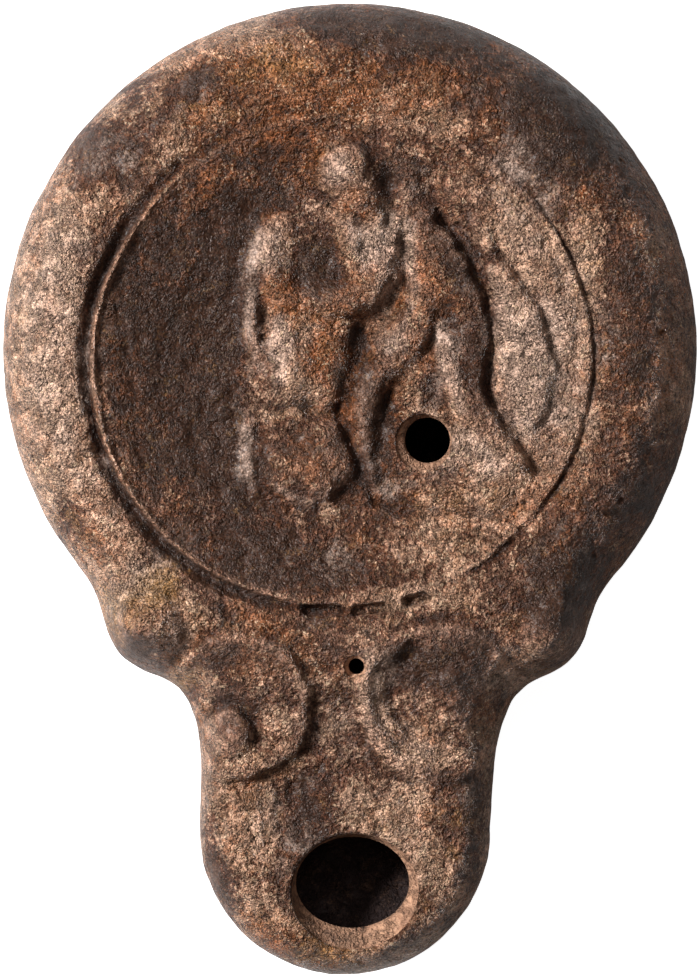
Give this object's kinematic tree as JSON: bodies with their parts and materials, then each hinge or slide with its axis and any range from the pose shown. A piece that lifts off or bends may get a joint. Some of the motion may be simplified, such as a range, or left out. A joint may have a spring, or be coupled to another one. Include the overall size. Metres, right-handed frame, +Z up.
{
  "type": "roman oil lamp",
  "caption": "Mould-made clay lamp with a round hollow body, a sunk disc with an embracing pair in relief, a filling hole, and a rounded wick nozzle between volutes.",
  "frame": {"origin": "middle of the flat round base that the lamp stands on", "axes": "+Z up through the filling disc, -Y along the nozzle to the wick hole, +X to the lamp's right when it is seen from above with the nozzle towards the viewer"},
  "size_m": [0.0822, 0.1151, 0.0275],
  "materials": {
    "fired_clay": "fired red-brown clay with worn dark slip"
  },
  "bodies": {
    "root": {"lamp_body": "fired_clay"}
  },
  "joints": []
}
